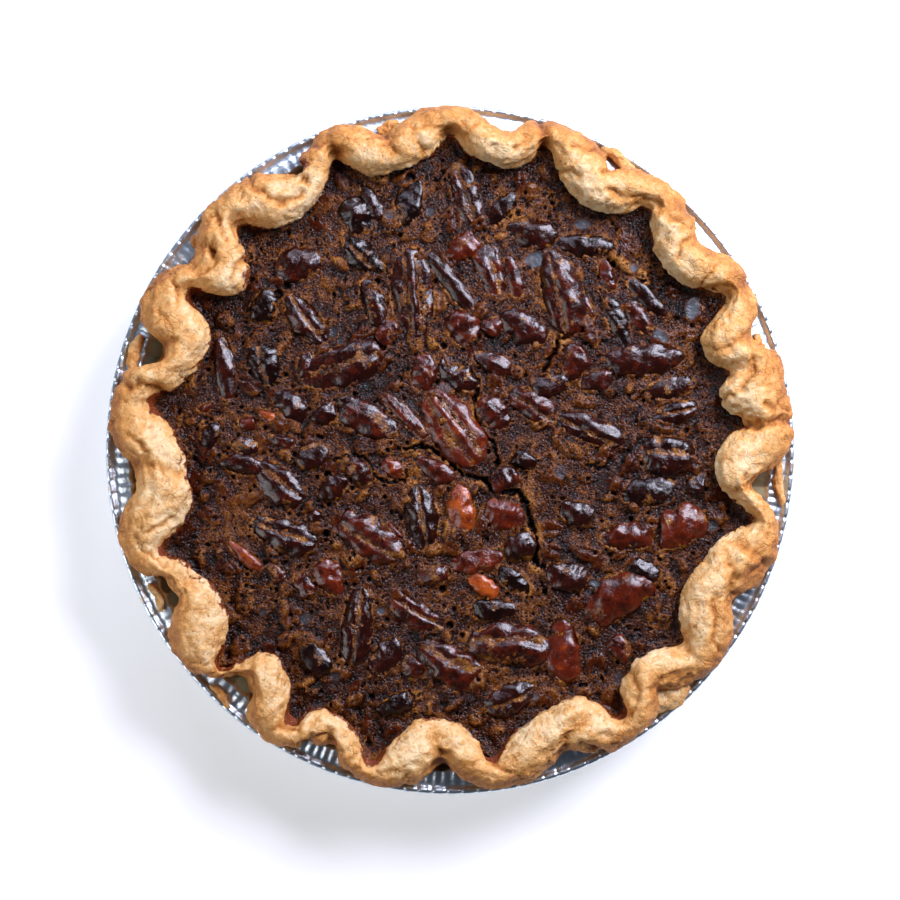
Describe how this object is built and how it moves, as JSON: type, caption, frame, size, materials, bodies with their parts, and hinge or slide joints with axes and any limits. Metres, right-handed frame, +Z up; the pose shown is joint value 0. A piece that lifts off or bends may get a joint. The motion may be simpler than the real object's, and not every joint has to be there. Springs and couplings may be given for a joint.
{
  "type": "pecan pie",
  "caption": "Round baked pecan pie in a shallow foil tin: a pinched, fluted pastry edge around a dark set filling with pecan halves half sunk in its surface.",
  "frame": {"origin": "middle of the tin's flat underside, on the surface that the pie stands on", "axes": "+Z up out of the pie; X and Y lie in the base, and the pie is round about Z but for its uneven flutes"},
  "size_m": [0.229, 0.229, 0.0404],
  "materials": {
    "foil": "bright rolled foil, lightly creased",
    "pastry": "matte baked shortcrust, golden with paler and darker patches",
    "custard": "dark caramel custard with a foamy, partly glossy skin",
    "pecan": "glossy, syrup-glazed dark red-brown"
  },
  "bodies": {
    "root": {"custard_filling": "custard", "foil_tin": "foil", "pastry_crust": "pastry", "pecan_half_01": "pecan", "pecan_half_02": "pecan", "pecan_half_03": "pecan", "pecan_half_04": "pecan", "pecan_half_05": "pecan", "pecan_half_06": "pecan", "pecan_half_07": "pecan", "pecan_half_08": "pecan", "pecan_half_09": "pecan", "pecan_half_10": "pecan", "pecan_half_11": "pecan", "pecan_half_12": "pecan", "pecan_half_13": "pecan", "pecan_half_14": "pecan", "pecan_half_15": "pecan", "pecan_half_16": "pecan", "pecan_half_17": "pecan", "pecan_half_18": "pecan", "pecan_half_19": "pecan", "pecan_half_20": "pecan", "pecan_half_21": "pecan", "pecan_half_22": "pecan", "pecan_half_23": "pecan", "pecan_half_24": "pecan", "pecan_half_25": "pecan", "pecan_half_26": "pecan", "pecan_half_27": "pecan", "pecan_half_28": "pecan", "pecan_half_29": "pecan", "pecan_half_30": "pecan", "pecan_half_31": "pecan", "pecan_half_32": "pecan", "pecan_half_33": "pecan", "pecan_half_34": "pecan", "pecan_half_35": "pecan", "pecan_half_36": "pecan", "pecan_half_37": "pecan", "pecan_half_38": "pecan", "pecan_half_39": "pecan", "pecan_half_40": "pecan", "pecan_half_41": "pecan", "pecan_half_42": "pecan", "pecan_half_43": "pecan", "pecan_half_44": "pecan", "pecan_half_45": "pecan", "pecan_half_46": "pecan", "pecan_half_47": "pecan", "pecan_half_48": "pecan", "pecan_half_49": "pecan", "pecan_half_50": "pecan", "pecan_half_51": "pecan", "pecan_half_52": "pecan", "pecan_half_53": "pecan", "pecan_half_54": "pecan", "pecan_half_55": "pecan", "pecan_half_56": "pecan", "pecan_half_57": "pecan"}
  },
  "joints": []
}
